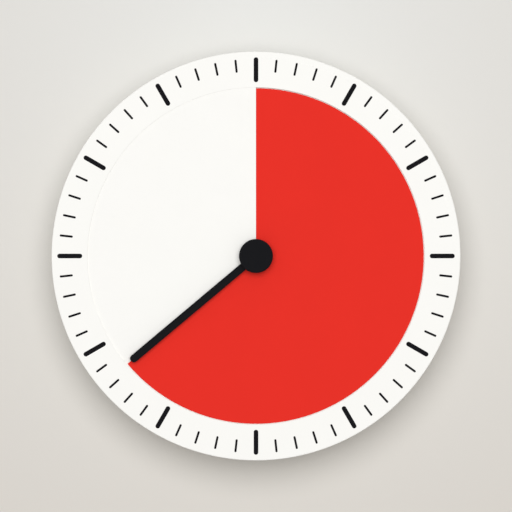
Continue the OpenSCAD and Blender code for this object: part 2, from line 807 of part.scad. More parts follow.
// Battery door: swings out about the outer corner of its lower edge
module battery_door() {
    grips = 4;
    grip_w = 1;
    grip_l = 12;
    grip_inset = 3;
    grip_depth = 0.5;
    grip_taper = 1;
    corner_r = 0.8;
    rib_t = 1;
    rib_l = 8;
    rib_x = 12;
    rib_gap = 0.3;
    tab_inset = 6;
    door_y0 = window_y0 + door_gap;
    door_y1 = window_y1 - door_gap;
    door_x = window_x - door_gap;
    tab_z = floor_z + door_tab_gap;
    color(shell_white) difference() {
        union() {
            translate([0, 0, back_z]) linear_extrude(door_t)
                round_rect(-door_x, door_y0, door_x, door_y1, corner_r);
            for (x = [-door_x + tab_inset, door_x - tab_inset - door_tab_w]) {
                translate([x, door_y0 - door_tab_l, tab_z])
                    cube([door_tab_w, door_tab_l + tab_root_l, door_tab_t]);
                translate([x, door_y0 + door_tab_back, back_z + door_t / 2])
                    cube([door_tab_w, tab_root_l - door_tab_back, tab_z - back_z - door_t / 2 + embed]);
            }
            for (x = [-rib_x, rib_x])
                translate([x - rib_t / 2, battery_y - rib_l / 2, floor_z - embed])
                    cube([rib_t, rib_l, movement_gap + battery_clear - rib_gap + embed]);
        }
        for (i = [0 : grips - 1])
            translate([0, door_y1 - grip_inset - 2 * grip_w * i, back_z]) rotate([0, 0, 90])
            translate([0, 0, -past]) linear_extrude(past + grip_depth)
                round_bar(-grip_l / 2 + grip_taper * i, grip_l / 2 - grip_taper * i, grip_w);
    }
}

module sound_switch_knob() {
    stem_w = 2;
    stem_top_z = board_z - switch_roof_t - switch_stem_gap;
    lip = 1;
    lip_gap = 0.1;
    lip_t = 0.8;
    corner_r = 0.4;
    color(hand_black) translate([switch_at[0], switch_at[1], 0]) {
        translate([0, 0, back_z + knob_recess]) linear_extrude(wall - knob_recess)
            round_rect(-knob_l / 2, -switch_w / 2, knob_l / 2, switch_w / 2, corner_r);
        translate([0, 0, floor_z + lip_gap]) linear_extrude(lip_t)
            round_rect(-knob_l / 2 - lip, -switch_w / 2 - lip, knob_l / 2 + lip, switch_w / 2 + lip,
                corner_r);
        translate([-stem_w / 2, -stem_w / 2, floor_z - embed])
            cube([stem_w, stem_w, stem_top_z - floor_z + embed]);
    }
}

// ------------------------------------------------------------ movement

// Outline of the movement's case, grown or shrunk
module movement_outline(grow) {
    round_rect(-movement_x - grow, bay_y0 - grow, movement_x + grow, train_y1 + grow,
        movement_corner_r + grow - movement_wall);
}

module movement_case() {
    shell_z = movement_z + movement_cover_t;
    slot_side = 0.3;
    slot_below = 0.1;
    slot_over = 0.3;
    color(movement_black) difference() {
        union() {
            translate([0, 0, shell_z]) linear_extrude(plate_z - shell_z) difference() {
                movement_outline(movement_wall);
                movement_outline(0);
            }
            translate([0, 0, train_top_z]) linear_extrude(plate_t) movement_outline(movement_wall);
            translate([-movement_x - embed, bay_y1, shell_z])
                cube([movement_w + 2 * embed, movement_wall, plate_z - plate_t / 2 - shell_z]);
            translate([0, 0, plate_z - plate_t / 2])
                cylinder(r = collar_r, h = collar_top_z - plate_z + plate_t / 2);
            for (p = posts) translate([p[0], p[1], bridge_top_z])
                cylinder(r = post_r, h = train_h + embed, $fn = 48);
            for (p = peg_places) translate([p[0], p[1], plate_z - embed])
                cylinder(r = peg_r, h = peg_h + embed, $fn = 32);
        }
        translate([0, 0, train_top_z - past])
            cylinder(r = arbor_r + running_gap, h = collar_top_z - train_top_z + 2 * past);
        for (p = posts) translate([p[0], p[1], bridge_top_z - past])
            cylinder(r = screw_r + thread_gap, h = past + post_grip + drill_over, $fn = 32);
        for (p = train_places) translate([p[0], p[1], train_top_z - past])
            cylinder(r = pivot_r + running_gap, h = pivot_l + end_play + past, $fn = 32);
        for (side = [0, 1]) mirror([side, 0, 0])
            translate([movement_x - contact_tab_w - slot_side, bay_y1 - past, board_z + board_t - slot_below])
                cube([contact_tab_w + slot_side, movement_wall + 2 * past, contact_t + slot_over]);
    }
}

module train_bridge() {
    gap = 0.3;
    corner_r = 1.4;
    core_boss_wall = 1;
    buzzer_gap = 0.6;
    color(movement_black) difference() {
        union() {
            translate([0, 0, bridge_top_z - bridge_t]) linear_extrude(bridge_t)
                round_rect(-movement_x + gap, train_y0 + gap, movement_x - gap, train_y1 - gap, corner_r);
            for (p = core_screws_at) translate([p[0], p[1], bridge_top_z - embed])
                cylinder(r = core_screw_r + core_boss_wall, h = stator_h + embed, $fn = 32);
            for (p = board_pins_at) translate([p[0], p[1], board_z + board_t])
                cylinder(r = board_pin_r, h = bridge_top_z - bridge_t / 2 - board_z - board_t, $fn = 32);
        }
        translate([0, 0, bridge_top_z - bridge_t - past]) {
            cylinder(r = arbor_pivot_r + running_gap, h = bridge_t + 2 * past, $fn = 48);
            for (p = train_places) translate(p)
                cylinder(r = pivot_r + running_gap, h = bridge_t + 2 * past, $fn = 32);
            for (p = posts) translate(p)
                cylinder(r = screw_r + screw_gap, h = bridge_t + 2 * past, $fn = 32);
            translate(buzzer_at) cylinder(r = buzzer_r + buzzer_gap, h = bridge_t + 2 * past);
        }
        for (p = core_screws_at) translate([p[0], p[1], bridge_top_z])
            cylinder(r = core_screw_r + thread_gap, h = stator_h + past, $fn = 32);
    }
}

module stator_screws() {
    color(steel) for (p = core_screws_at) translate([p[0], p[1], core_z + core_t]) mirror([0, 0, 1])
        screw_up(0, stator_t + core_t + core_screw_grip, core_screw_r, core_screw_head_r,
            core_screw_head_h);
}

module movement_cover() {
    switch_gap = 0.3;
    switch_corner_r = 0.4;
    bay_ledge_x = 0.5;
    bay_ledge_y = 0.2;
    bay_corner_r = 1;
    board_seat_wall = 0.8;
    color(movement_black) difference() {
        union() {
            translate([0, 0, movement_z]) linear_extrude(movement_cover_t)
                movement_outline(movement_wall);
            for (p = board_pins_at) translate([p[0], p[1], movement_z + movement_cover_t - embed])
                cylinder(r = board_pin_r + board_seat_wall,
                    h = board_z - movement_z - movement_cover_t + embed, $fn = 32);
            for (p = posts) translate([p[0], p[1], movement_z + movement_cover_t - embed])
                cylinder(r = post_r, h = bridge_top_z - bridge_t - movement_z - movement_cover_t + embed,
                    $fn = 48);
        }
        translate([0, 0, movement_z - past]) linear_extrude(movement_cover_t + 2 * past) {
            round_rect(-movement_x + bay_ledge_x, bay_y0 + bay_ledge_y, movement_x - bay_ledge_x,
                bay_y1 - bay_ledge_y, bay_corner_r);
            sound_slots(cover_sound_slots, cover_sound_slot_l);
            translate([switch_at[0] + switch_travel / 2, switch_at[1]])
                round_rect(-switch_body_l / 2 - switch_gap, -switch_body_w / 2 - switch_gap,
                    switch_body_l / 2 + switch_gap, switch_body_w / 2 + switch_gap, switch_corner_r);
        }
        for (p = posts) translate([p[0], p[1], movement_z - past])
            cylinder(r = screw_r + screw_gap, h = bridge_top_z - bridge_t - movement_z + 2 * past,
                $fn = 32);
    }
}

module movement_screws() {
    color(steel) for (p = posts) translate([p[0], p[1], 0])
        screw_up(movement_z, bridge_top_z + post_grip, screw_r, movement_head_r, movement_head_h);
}

module collar_nut() {
    step_h = 0.4;
    step_w = 0.3;
    corner_r = nut_af / 2 / cos(30);
    color(brass) translate([0, 0, chassis_top_z]) difference() {
        intersection() {
            cylinder(r = corner_r, h = nut_t, $fn = 6);
            union() {
                cylinder(r = corner_r - step_w, h = nut_t);
                cylinder(r = corner_r + past, h = nut_t - step_h);
            }
        }
        translate([0, 0, -past]) cylinder(r = collar_r, h = nut_t + 2 * past);
    }
}

module circuit_board() {
    x = movement_x - board_side_gap;
    corner_r = 1;
    post_gap = 0.3;
    port_gap = 0.5;
    color(board_green) translate([0, 0, board_z]) linear_extrude(board_t) difference() {
        round_rect(-x, board_y0, x, board_y1, corner_r);
        for (p = posts) translate(p) circle(r = post_r + post_gap, $fn = 48);
        translate(buzzer_at) circle(r = buzzer_port_r + port_gap, $fn = 32);
    }
}

module timer_chip() {
    color(ink_black) translate([chip_at[0], chip_at[1], board_z + board_t]) {
        cylinder(r = chip_r, h = chip_edge_h, $fn = 48);
        translate([0, 0, chip_edge_h])
            cylinder(r1 = chip_r, r2 = chip_top_r, h = chip_h - chip_edge_h, $fn = 48);
    }
}

module quartz_crystal() {
    color(steel) translate([crystal_at[0], crystal_at[1], board_z + board_t + crystal_r])
        rotate([0, 90, 0]) {
            cylinder(r = crystal_r, h = crystal_l, $fn = 32);
            translate([0, 0, crystal_l]) cylinder(r = crystal_end_r, h = crystal_end_l, $fn = 32);
        }
}

module buzzer() {
    port_depth = 1;
    color(movement_black) translate([buzzer_at[0], buzzer_at[1], board_z + board_t]) difference() {
        cylinder(r = buzzer_r, h = buzzer_h);
        translate([0, 0, -past]) cylinder(r = buzzer_port_r, h = port_depth + past, $fn = 32);
    }
}

module switch_body() {
    x0 = switch_at[0] - switch_body_l / 2 + switch_travel / 2;
    foot_gap = 0.2;
    z0 = movement_z + foot_gap;
    slot_x = 1.2;
    slot_w = 2.4;
    color(steel) difference() {
        translate([x0, switch_at[1] - switch_body_w / 2, z0])
            cube([switch_body_l, switch_body_w, board_z - z0]);
        translate([switch_at[0] - slot_x, switch_at[1] - slot_w / 2, z0 - past])
            cube([switch_travel + 2 * slot_x, slot_w, board_z - switch_roof_t - z0 + past]);
    }
}

// Coil of the stepping motor, lying along Y
module along_coil() {
    translate([coil_x, coil_y1, core_z + core_t / 2]) rotate([90, 0, 0]) children();
}

module coil_bobbin() {
    l = coil_y1 - coil_y0;
    core_gap = 0.05;
    color(gear_white) along_coil() difference() {
        union() {
            cylinder(r = bobbin_r, h = l, $fn = 48);
            for (z = [0, l - bobbin_flange_t]) translate([0, 0, z])
                cylinder(r = coil_outer_r, h = bobbin_flange_t, $fn = 48);
        }
        translate([-core_w / 2 - core_gap, -core_t / 2 - core_gap, -past])
            cube([core_w + 2 * core_gap, core_t + 2 * core_gap, l + 2 * past]);
    }
}

module coil_winding() {
    l = coil_y1 - coil_y0 - 2 * bobbin_flange_t;
    color(copper) along_coil() translate([0, 0, bobbin_flange_t]) difference() {
        cylinder(r = coil_r, h = l);
        translate([0, 0, -past]) cylinder(r = bobbin_r, h = l + 2 * past, $fn = 48);
    }
}

module coil_core() {
    y0 = coil_y0 - arm_gap - arm_w;
    y1 = coil_y1 + arm_gap + arm_w;
    color(steel) translate([0, 0, core_z]) difference() {
        translate([coil_x - core_w / 2, y0, 0]) cube([core_w, y1 - y0, core_t]);
        for (p = core_screws_at) translate([p[0], p[1], -past])
            cylinder(r = core_screw_r + core_hole_gap, h = core_t + 2 * past, $fn = 32);
    }
}

module stator() {
    notch_r = 0.35;
    notch_angle = 135;
    x0 = coil_x - core_w / 2;
    x1 = rotor_at[0] + stator_strip_w / 2;
    y0 = coil_y0 - arm_gap - arm_w;
    y1 = coil_y1 + arm_gap + arm_w;
    color(steel) translate([0, 0, bridge_top_z + stator_h]) linear_extrude(stator_t) difference() {
        union() {
            translate([x1 - stator_strip_w, y0]) square([stator_strip_w, y1 - y0]);
            for (y = [y0, y1 - arm_w]) translate([x0, y]) square([x1 - x0, arm_w]);
        }
        translate(rotor_at) circle(r = magnet_r + air_gap, $fn = 48);
        for (side = [-1, 1]) translate(rotor_at) rotate(notch_angle)
            translate([side * (magnet_r + air_gap), 0]) circle(r = notch_r, $fn = 24);
        for (p = core_screws_at) translate(p) circle(r = core_screw_r + core_hole_gap, $fn = 32);
    }
}

module battery() {
    crimp = 0.35;
    edge_l = 1;
    color(frame_grey) translate([battery_x0, battery_y, battery_z]) rotate([0, 90, 0]) {
        cylinder(d = battery_d - 2 * crimp, h = battery_l);
        translate([0, 0, edge_l]) cylinder(d = battery_d, h = battery_l - 2 * edge_l);
        translate([0, 0, battery_l - embed])
            cylinder(r = battery_nub_r, h = battery_nub_l + embed, $fn = 48);
    }
}

// Upright plate of a battery contact at the +X end of the bay, and its tab on the board
module contact_plate() {
    lower_gap = 0.5;
    upper_gap = 1;
    side_gap = 0.1;
    tab_in = 1.6;
    tab_out = 2.4;
    plate_z0 = movement_z + movement_cover_t + lower_gap;
    translate([movement_x - contact_t, battery_y - contact_w / 2, plate_z0])
        cube([contact_t, bay_y1 - battery_y + contact_w / 2 - side_gap, train_top_z - plate_z0 - upper_gap]);
    translate([movement_x - contact_tab_w, bay_y1 - tab_in, board_z + board_t])
        cube([contact_tab_w, tab_in + movement_wall + tab_out, contact_t]);
}

module positive_contact() {
    button_r = 2.4;
    color(steel) {
        contact_plate();
        translate([battery_x1, battery_y, battery_z]) rotate([0, 90, 0])
            cylinder(r = button_r, h = button_h, $fn = 48);
    }
}

spring_wire = 0.7;
spring_turns = 3;

// Closed tube that follows a path, with six sides
module wire(path, d) {
    sides = 6;
    n = len(path);
    points = [for (i = [0 : n - 1])
        let (
            ahead = path[min(i + 1, n - 1)] - path[max(i - 1, 0)],
            t = ahead / norm(ahead),
            u = cross(t, [1, 0, 0]) / norm(cross(t, [1, 0, 0])),
            v = cross(t, u)
        )
        for (k = [0 : sides - 1])
            path[i] + d / 2 * (cos(full_turn * k / sides) * u + sin(full_turn * k / sides) * v)
    ];
    skin = [for (i = [0 : n - 2], k = [0 : sides - 1])
        let (a = i * sides + k, b = i * sides + (k + 1) % sides)
        each [[a, a + sides, b + sides], [a, b + sides, b]]
    ];
    ends = [[for (k = [0 : sides - 1]) k], [for (k = [sides - 1 : -1 : 0]) (n - 1) * sides + k]];
    polyhedron(points, concat(skin, ends));
}

module negative_contact() {
    wide_r = 4.5;
    narrow_r = 2.5;
    steps = spring_turns * 16;
    root_sunk = 0.15;
    root_x = -movement_x + contact_t + spring_wire / 2 - root_sunk;
    end_gap = 0.1;
    end_x = battery_x0 - spring_wire / 2 - end_gap;
    color(steel) {
        mirror([1, 0, 0]) contact_plate();
        wire([for (i = [0 : steps])
            let (
                share = i / steps,
                r = wide_r + (narrow_r - wide_r) * share,
                angle = full_turn * spring_turns * share
            )
            [
                root_x + (end_x - root_x) * share,
                battery_y + r * cos(angle),
                battery_z + r * sin(angle)
            ]
        ], spring_wire);
    }
}

// --------------------------------------------------------------- train

// Wheel with a tooth that points along facing
module wheel(n, m, t, facing) {
    rotate([0, 0, facing]) linear_extrude(t) polygon(gear_points(n, m));
}

// Pinion with a gap that points along facing
module pinion(n, m, t, facing) {
    rotate([0, 0, facing - 180 / n]) linear_extrude(t) polygon(gear_points(n, m));
}

// Arbor of a small wheel: pivots at both ends and a body between the plates
module small_arbor(r) {
    translate([0, 0, end_play]) cylinder(r = r, h = train_h - 2 * end_play, $fn = 32);
    translate([0, 0, -pivot_l]) cylinder(r = pivot_r, h = train_h + 2 * pivot_l, $fn = 32);
}

module centre_wheel() {
    holes = 5;
    hole_r = 2.1;
    hole_inset = 5.8;
    hole_ring_r = centre_m * centre_teeth / 2 - hole_inset;
    color(gear_white) translate([0, 0, bridge_top_z + centre_wheel_h]) difference() {
        wheel(centre_teeth, centre_m, wheel_t, centre_third_angle);
        translate([0, 0, -past]) cylinder(r = arbor_r + running_gap, h = wheel_t + 2 * past);
        for (k = [0 : holes - 1]) rotate([0, 0, k * full_turn / holes])
            translate([hole_ring_r, 0, -past]) cylinder(r = hole_r, h = wheel_t + 2 * past, $fn = 48);
    }
}

module third_wheel() {
    color(gear_orange) translate([third_at[0], third_at[1], bridge_top_z]) {
        small_arbor(small_arbor_r);
        translate([0, 0, third_wheel_h])
            wheel(third_teeth, third_m, wheel_t, third_second_angle);
        translate([0, 0, centre_wheel_h - pinion_over])
            pinion(third_leaves, centre_m, wheel_t + 2 * pinion_over, centre_third_angle + 180);
    }
}

module second_wheel() {
    color(gear_white) translate([second_at[0], second_at[1], bridge_top_z]) {
        small_arbor(small_arbor_r);
        translate([0, 0, second_wheel_h])
            wheel(second_teeth, second_m, wheel_t, second_intermediate_angle);
        translate([0, 0, third_wheel_h - pinion_over])
            pinion(second_leaves, third_m, wheel_t + 2 * pinion_over, third_second_angle + 180);
    }
}

module intermediate_wheel() {
    color(gear_orange) translate([intermediate_at[0], intermediate_at[1], bridge_top_z]) {
        small_arbor(small_arbor_r);
        translate([0, 0, intermediate_wheel_h])
            wheel(intermediate_teeth, intermediate_m, wheel_t, intermediate_rotor_angle);
        translate([0, 0, second_wheel_h - pinion_over])
            pinion(intermediate_leaves, second_m, wheel_t + 2 * pinion_over,
                second_intermediate_angle + 180);
    }
}

module rotor_pinion() {
    color(gear_white) translate([rotor_at[0], rotor_at[1], bridge_top_z]) {
        small_arbor(small_arbor_r);
        translate([0, 0, intermediate_wheel_h - pinion_over])
            pinion(rotor_leaves, intermediate_m, wheel_t + 2 * pinion_over,
                intermediate_rotor_angle + 180);
    }
}

module rotor_magnet() {
    color(movement_black) translate([rotor_at[0], rotor_at[1], bridge_top_z + magnet_z0])
        difference() {
            cylinder(r = magnet_r, h = magnet_h, $fn = 48);
            translate([0, 0, -past]) cylinder(r = small_arbor_r, h = magnet_h + 2 * past, $fn = 32);
        }
}

// ------------------------------------------------- arbor, disc and hand

hub_cap_t = 1.1;
eye_gap = 0.05;
arbor_end_gap = 0.1;
arbor_top_z = hand_z + hub_h - hub_cap_t - arbor_end_gap;
wheel_z1 = bridge_top_z + centre_wheel_h + wheel_t;
clip_groove = 0.4;
groove_r = arbor_r - clip_groove;
clip_gap = 0.02;

module main_arbor() {
    color(steel) difference() {
        union() {
            translate([0, 0, bridge_top_z - bridge_t])
                cylinder(r = arbor_pivot_r, h = bridge_t + end_play + embed, $fn = 48);
            translate([0, 0, bridge_top_z + end_play])
                cylinder(r = arbor_r, h = flange_z1 - bridge_top_z - end_play);
            translate([0, 0, wheel_z1 + washer_gap])
                cylinder(r = shoulder_r, h = train_top_z - end_play - wheel_z1 - washer_gap);
            translate([0, 0, flange_z1 - flange_t]) cylinder(r = flange_r, h = flange_t);
            translate([0, 0, flange_z1 - flange_t / 2]) rotate([0, 0, -hand_angle])
                linear_extrude(arbor_top_z - flange_z1 + flange_t / 2) double_d(key_r, key_flat);
        }
        translate([0, 0, bridge_top_z + clip_h]) difference() {
            cylinder(r = arbor_r + past, h = clip_t);
            translate([0, 0, -past]) cylinder(r = groove_r, h = clip_t + 2 * past, $fn = 48);
        }
    }
}

module clutch_washer() {
    hole_r = arbor_r + 0.3;
    z0 = bridge_top_z + clip_h + clip_t + clip_gap;
    z1 = bridge_top_z + centre_wheel_h - washer_gap;
    color(brass) rotate_extrude() polygon([
        [hole_r, z0], [washer_r, z1 - washer_t], [washer_r, z1], [hole_r, z0 + washer_t]
    ]);
}

module arbor_clip() {
    slot_share = 0.9;
    slot_w = 2 * groove_r * slot_share;
    color(steel) translate([0, 0, bridge_top_z + clip_h + clip_gap]) rotate([0, 0, -hand_angle])
        linear_extrude(clip_t - 2 * clip_gap) difference() {
            circle(r = clip_r);
            circle(r = groove_r + clip_gap);
            translate([0, -slot_w / 2]) square([clip_r + past, slot_w]);
        }
}

module hub() {
    cavity_r = hub_r - hub_wall;
    color(hand_black) difference() {
        translate([0, 0, hand_z]) rotate_extrude() {
            square([hub_r, hub_h - hub_edge_r]);
            square([hub_r - hub_edge_r, hub_h]);
            translate([hub_r - hub_edge_r, hub_h - hub_edge_r]) circle(r = hub_edge_r);
        }
        translate([0, 0, hand_z - past]) cylinder(r = cavity_r, h = hand_t + past + eye_gap);
        translate([0, 0, hand_z - past]) at_dial(hand_angle)
            translate([-hand_w / 2 - eye_gap, 0, 0])
                cube([hand_w + 2 * eye_gap, hub_r + past, hand_t + past + eye_gap]);
        translate([0, 0, hand_z - past]) rotate([0, 0, -hand_angle])
            linear_extrude(arbor_top_z - hand_z + past + arbor_end_gap)
                double_d(key_r + push_gap, key_flat + push_gap);
    }
}

module hand() {
    eye_r = hub_r - hub_wall - eye_gap;
    color(hand_black) translate([0, 0, hand_z]) rotate([0, 0, -hand_angle])
        linear_extrude(hand_t) difference() {
            union() {
                circle(r = eye_r);
                round_bar(0, disc_r - hand_tip_inset, hand_w);
            }
            double_d(key_r + push_gap, key_flat + push_gap);
        }
}

module red_disc() {
    color(disc_red) {
        helix_sheet(disc_boss_r - boss_embed, disc_r, disc_t, hand_angle - full_turn, hand_angle, disc_z);
        translate([0, 0, boss_z0]) difference() {
            cylinder(r = disc_boss_r, h = boss_z1 - boss_z0);
            translate([0, 0, -past]) rotate([0, 0, -hand_angle])
                linear_extrude(boss_z1 - boss_z0 + 2 * past)
                    double_d(key_r + slide_gap, key_flat + slide_gap);
        }
    }
}

front_cover();
five_minute_marks();
minute_marks();
rear_housing();
chassis_plate();
chassis_screws();
case_screws();
rubber_feet();
battery_door();
sound_switch_knob();
movement_case();
movement_cover();
movement_screws();
train_bridge();
collar_nut();
circuit_board();
timer_chip();
quartz_crystal();
buzzer();
switch_body();
coil_bobbin();
coil_winding();
coil_core();
stator();
stator_screws();
battery();
positive_contact();
negative_contact();
centre_wheel();
third_wheel();
second_wheel();
intermediate_wheel();
rotor_pinion();
rotor_magnet();
main_arbor();
clutch_washer();
arbor_clip();
hub();
hand();
red_disc();
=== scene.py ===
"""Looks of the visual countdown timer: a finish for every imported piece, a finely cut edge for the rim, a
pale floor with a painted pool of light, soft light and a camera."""

import math

import bpy
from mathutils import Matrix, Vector


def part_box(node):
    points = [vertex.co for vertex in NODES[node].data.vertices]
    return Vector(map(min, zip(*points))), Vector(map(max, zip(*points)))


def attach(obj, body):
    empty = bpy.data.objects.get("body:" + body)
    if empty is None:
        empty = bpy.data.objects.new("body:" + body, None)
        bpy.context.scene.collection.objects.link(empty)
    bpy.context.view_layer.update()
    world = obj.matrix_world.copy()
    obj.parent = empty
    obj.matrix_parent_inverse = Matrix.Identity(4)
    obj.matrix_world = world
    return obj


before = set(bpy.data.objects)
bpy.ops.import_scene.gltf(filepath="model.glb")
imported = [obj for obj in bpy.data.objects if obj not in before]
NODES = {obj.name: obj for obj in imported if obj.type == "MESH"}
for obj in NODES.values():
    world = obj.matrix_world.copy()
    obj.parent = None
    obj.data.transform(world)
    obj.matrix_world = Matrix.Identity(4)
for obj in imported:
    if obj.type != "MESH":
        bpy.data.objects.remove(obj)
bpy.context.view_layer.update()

MM = 0.001
FACE_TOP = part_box("front_cover")[1].z
BATTERY_LOW, BATTERY_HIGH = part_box("battery")


# ------------------------------------------------------------ node helpers

BEVEL_SAMPLES = 4
EVEN = (1, 1, 1)
# The Mix node's sockets that take and give colours
MIX_FIRST, MIX_SECOND, MIX_RESULT = 6, 7, 2


class Finish:
    """One material and the few kinds of node that its surface is built from. Lengths are in metres."""

    def __init__(self, name):
        self.material = bpy.data.materials.new(name)
        self.material.use_nodes = True
        self.tree = self.material.node_tree
        self.shader = self.tree.nodes["Principled BSDF"]
        self.place = self.add("ShaderNodeTexCoord").outputs["Object"]

    def add(self, kind, inputs=None, **settings):
        """A new node with its settings, and a value or another node's output on each of its inputs."""
        node = self.tree.nodes.new(kind)
        for key, value in settings.items():
            setattr(node, key, value)
        for key, value in (inputs or {}).items():
            self.plug(value, node.inputs[key])
        return node

    def plug(self, value, socket):
        """Links another node's output to the socket, or puts a plain value on it."""
        if isinstance(value, bpy.types.NodeSocket):
            self.tree.links.new(value, socket)
        else:
            socket.default_value = value

    def set(self, **values):
        """Puts values or other nodes' outputs on the shader, such as roughness=0.4."""
        for key, value in values.items():
            self.plug(value, self.shader.inputs[key.replace("_", " ").title().replace("Ior", "IOR")])
        return self

    def noise(self, grain, detail=3.0, squeeze=EVEN, roughness=0.5):
        """Noise from 0 to 1 with cells of about the size of grain, squeezed by a factor for each axis."""
        place = self.place
        if squeeze != EVEN:
            place = self.add("ShaderNodeMapping", {"Vector": place, "Scale": squeeze}).outputs[0]
        return self.add("ShaderNodeTexNoise", {
            "Vector": place, "Scale": 1 / grain, "Detail": detail, "Roughness": roughness,
        }).outputs["Fac"]

    def spread(self, value, low, high, start=0.3, end=0.7):
        """The value's stretch from start to end, mapped onto low to high. The rest is cut off."""
        return self.add("ShaderNodeMapRange", {
            "Value": value, "From Min": start, "From Max": end, "To Min": low, "To Max": high,
        }).outputs[0]

    def mix(self, share, first, second):
        """The first colour where share is 0, the second where it is 1."""
        node = self.add("ShaderNodeMix", data_type="RGBA")
        self.plug(share, node.inputs[0])
        self.plug(first, node.inputs[MIX_FIRST])
        self.plug(second, node.inputs[MIX_SECOND])
        return node.outputs[MIX_RESULT]

    def edge(self, radius):
        """Normal that rounds every sharp edge by that radius."""
        return self.add("ShaderNodeBevel", {"Radius": radius}, samples=BEVEL_SAMPLES).outputs["Normal"]

    def bump(self, height, depth, below):
        """Normal of a relief of that depth, on top of another normal."""
        return self.add("ShaderNodeBump", {
            "Height": height, "Distance": depth, "Strength": 1.0, "Normal": below,
        }).outputs["Normal"]

    def math(self, operation, first, second=0.0):
        """The result of a calculation. Those with one value take no notice of the second."""
        node = self.add("ShaderNodeMath", operation=operation)
        self.plug(first, node.inputs[0])
        self.plug(second, node.inputs[1])
        return node.outputs[0]

    def axes(self):
        """Outputs with the surface point's x, y and z."""
        return self.add("ShaderNodeSeparateXYZ", {"Vector": self.place}).outputs

    def distance(self, middle_y=0.0):
        """Distance, seen from above, from the dial's axis or from a point on its line to twelve o'clock."""
        x, y, _ = self.axes()
        up = self.math("SUBTRACT", y, middle_y)
        square = self.math("ADD", self.math("MULTIPLY", x, x), self.math("MULTIPLY", up, up))
        return self.math("SQRT", square)


def linear(red, green, blue):
    """A colour given as it shows on screen, from 0 to 255, turned into a linear one."""
    def channel(value):
        value /= 255
        return value / 12.92 if value <= 0.04045 else ((value + 0.055) / 1.055) ** 2.4
    return (channel(red), channel(green), channel(blue), 1.0)


def shade(colour, factor):
    """The colour with red, green and blue times the factor."""
    return tuple(channel * factor for channel in colour[:3]) + (1.0,)


def coloured(finish, colour, grain, change):
    """Base colour that drifts a little from place to place."""
    drift = finish.spread(finish.noise(grain), 0.0, 1.0)
    return finish.mix(drift, shade(colour, 1 - change), shade(colour, 1 + change))


# --------------------------------------------------------- kinds of finish

SOFT_EDGE, FINE_EDGE = 0.15 * MM, 0.05 * MM
WAVE_SIZE, WAVE_DEPTH = 22 * MM, 0.02 * MM
GLOSS_PATCH, GLOSS_CHANGE = 3 * MM, 0.03


def moulded(name, colour, roughness, texture=0.35 * MM, depth=0.004 * MM, change=0.012, drift=18 * MM,
            gloss=0.35, edge=SOFT_EDGE):
    """Moulded plastic: fine eroded texture, slow waviness of the mould and a faint drift of tone."""
    finish = Finish(name)
    eroded = finish.noise(texture, detail=4.0, roughness=0.6)
    wavy = finish.noise(WAVE_SIZE, detail=1.0)
    patchy = finish.noise(GLOSS_PATCH, detail=2.0)
    slow = finish.bump(wavy, WAVE_DEPTH, finish.edge(edge))
    return finish.set(
        base_color=coloured(finish, colour, drift, change),
        roughness=finish.spread(patchy, roughness - GLOSS_CHANGE, roughness + GLOSS_CHANGE),
        specular_ior_level=gloss,
        normal=finish.bump(eroded, depth, slow),
    )


WEAR_RING, WEAR_DEPTH = 0.5 * MM, 0.0012 * MM
WEAR_SHARE, WEAR_PALENESS, WEAR_ROUGHNESS = 0.03, 1.12, 0.05
FILM_GRAIN, FILM_GRAIN_DEPTH = 0.18 * MM, 0.0025 * MM
FILM_DRIFT, FILM_CHANGE = 25 * MM, 0.01


def worn_film(name, colour, roughness):
    """Matt film of the disc: faint rings where it runs through the slit, under a fine grain."""
    finish = Finish(name)
    across = finish.math("MULTIPLY", finish.distance(), 1 / WEAR_RING)
    rings = finish.add("ShaderNodeTexNoise", {"W": across, "Scale": 1.0, "Detail": 3.0},
                       noise_dimensions="1D")
    worn = finish.spread(rings.outputs["Fac"], 0.0, 1.0)
    grain = finish.noise(FILM_GRAIN, detail=3.0)
    fresh = coloured(finish, colour, FILM_DRIFT, FILM_CHANGE)
    faded = shade(colour, WEAR_PALENESS)
    ring_relief = finish.bump(worn, WEAR_DEPTH, finish.edge(FINE_EDGE))
    return finish.set(
        base_color=finish.mix(finish.math("MULTIPLY", worn, WEAR_SHARE), fresh, faded),
        roughness=finish.spread(worn, roughness, roughness + WEAR_ROUGHNESS, start=0.0, end=1.0),
        specular_ior_level=0.2,
        normal=finish.bump(grain, FILM_GRAIN_DEPTH, ring_relief),
    )


DUST_PATCH, DUST_SHARE, DUST_PALENESS = 1.8 * MM, 0.35, 2.2
RUBBER_GRAIN, RUBBER_DEPTH, RUBBER_EDGE = 0.25 * MM, 0.02 * MM, 0.3 * MM


def rubber(name, colour):
    """Matt rubber with a fine grain and patches of pale dust."""
    finish = Finish(name)
    grain = finish.noise(RUBBER_GRAIN, detail=5.0, roughness=0.7)
    dust = finish.spread(finish.noise(DUST_PATCH, detail=4.0), 0.0, DUST_SHARE, start=0.5, end=0.75)
    return finish.set(
        base_color=finish.mix(dust, colour, shade(colour, DUST_PALENESS)),
        roughness=finish.spread(grain, 0.78, 0.92),
        normal=finish.bump(grain, RUBBER_DEPTH, finish.edge(RUBBER_EDGE)),
    )


DRAWN_ALONG_X, ROLLED_ALONG_Y, TURNED_ABOUT_Z = (1, 8, 8), (8, 1, 8), (1, 1, 10)
MARK_SIZE, MARK_DEPTH = 0.12 * MM, 0.002 * MM
STAIN_PATCH, STAIN_SHADE = 1.6 * MM, 0.9
METAL_EDGE = 0.06 * MM


